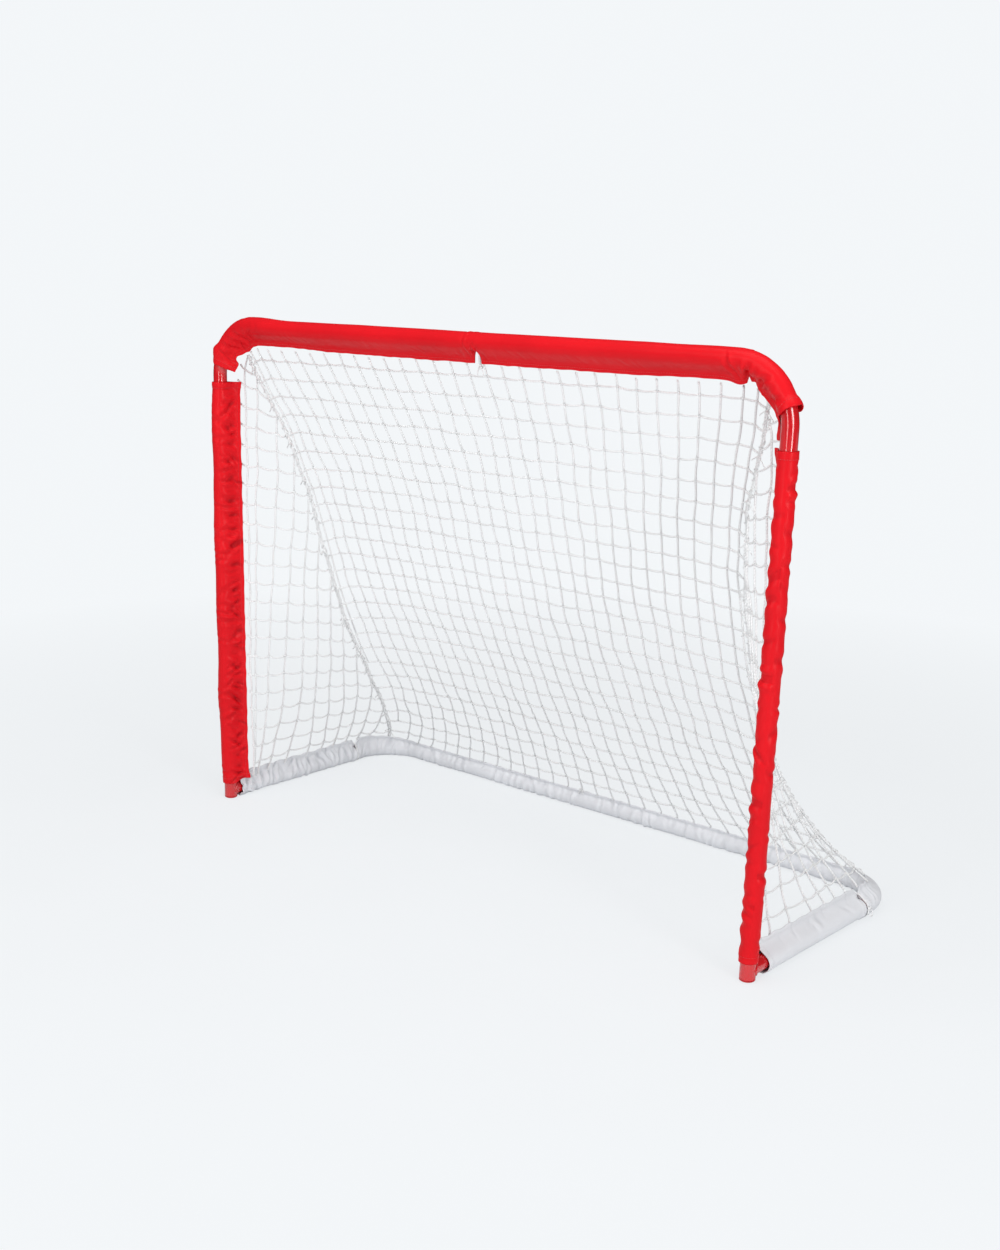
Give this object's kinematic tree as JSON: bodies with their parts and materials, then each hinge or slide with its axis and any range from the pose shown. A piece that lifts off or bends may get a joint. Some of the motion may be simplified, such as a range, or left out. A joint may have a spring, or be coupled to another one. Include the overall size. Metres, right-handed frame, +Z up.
{
  "type": "hockey goal net",
  "caption": "Knock-down tube-frame goal with cloth-sleeved posts and bars and a slack square-mesh net, open at the front to catch a ball or puck.",
  "frame": {"origin": "on the floor, at the middle of the footprint", "axes": "+X along the crossbar to the right as seen from the mouth, +Y from the mouth to the rear bar, +Z up"},
  "size_m": [1.2516, 0.4878, 0.9419],
  "materials": {
    "tube_paint": "gloss",
    "red_cloth": "coated sheen",
    "white_cloth": "coated satin",
    "net_yarn": "matt",
    "spring_steel": "satin",
    "cap_plastic": "matt"
  },
  "bodies": {
    "frame": {"top_corner_tube_left": "tube_paint", "post_tube_left": "tube_paint", "base_corner_tube_left": "tube_paint", "post_foot_cap_left": "cap_plastic", "post_sleeve_left": "red_cloth", "base_sleeve_left": "white_cloth", "net_side_left": "net_yarn", "seam_lacing_left": "net_yarn", "corner_tie_left": "net_yarn", "top_corner_tube_right": "tube_paint", "post_tube_right": "tube_paint", "base_corner_tube_right": "tube_paint", "post_foot_cap_right": "cap_plastic", "post_sleeve_right": "red_cloth", "base_sleeve_right": "white_cloth", "net_side_right": "net_yarn", "seam_lacing_right": "net_yarn", "corner_tie_right": "net_yarn", "crossbar_sleeve": "red_cloth", "base_sleeve_rear": "white_cloth", "net_back": "net_yarn", "crossbar_tie": "net_yarn", "rear_tie": "net_yarn", "snap_clip_crossbar": "spring_steel", "snap_clip_rear": "spring_steel", "snap_clip_post_left": "spring_steel", "snap_clip_post_right": "spring_steel", "snap_clip_base_left": "spring_steel", "snap_clip_base_right": "spring_steel"},
    "button_crossbar": {"snap_button_crossbar": "spring_steel"},
    "button_rear": {"snap_button_rear": "spring_steel"},
    "button_post_left": {"snap_button_post_left": "spring_steel"},
    "button_post_right": {"snap_button_post_right": "spring_steel"},
    "button_base_left": {"snap_button_base_left": "spring_steel"},
    "button_base_right": {"snap_button_base_right": "spring_steel"}
  },
  "joints": [
    {"name": "press_crossbar", "type": "slide", "parent": "frame", "child": "button_crossbar", "axis": [0, -1, 0], "range_m": [0, 0.0036], "stiffness_N_per_m": 4000, "springref_m": -0.001},
    {"name": "press_rear", "type": "slide", "parent": "frame", "child": "button_rear", "axis": [0, -0.5592, -0.829], "range_m": [0, 0.0036], "stiffness_N_per_m": 4000, "springref_m": -0.001},
    {"name": "press_post_left", "type": "slide", "parent": "frame", "child": "button_post_left", "axis": [0, -1, 0], "range_m": [0, 0.0036], "stiffness_N_per_m": 4000, "springref_m": -0.001},
    {"name": "press_post_right", "type": "slide", "parent": "frame", "child": "button_post_right", "axis": [0, -1, 0], "range_m": [0, 0.0036], "stiffness_N_per_m": 4000, "springref_m": -0.001},
    {"name": "press_base_left", "type": "slide", "parent": "frame", "child": "button_base_left", "axis": [-0.8988, 0, -0.4384], "range_m": [0, 0.0036], "stiffness_N_per_m": 4000, "springref_m": -0.001},
    {"name": "press_base_right", "type": "slide", "parent": "frame", "child": "button_base_right", "axis": [0.8988, 0, -0.4384], "range_m": [0, 0.0036], "stiffness_N_per_m": 4000, "springref_m": -0.001}
  ]
}
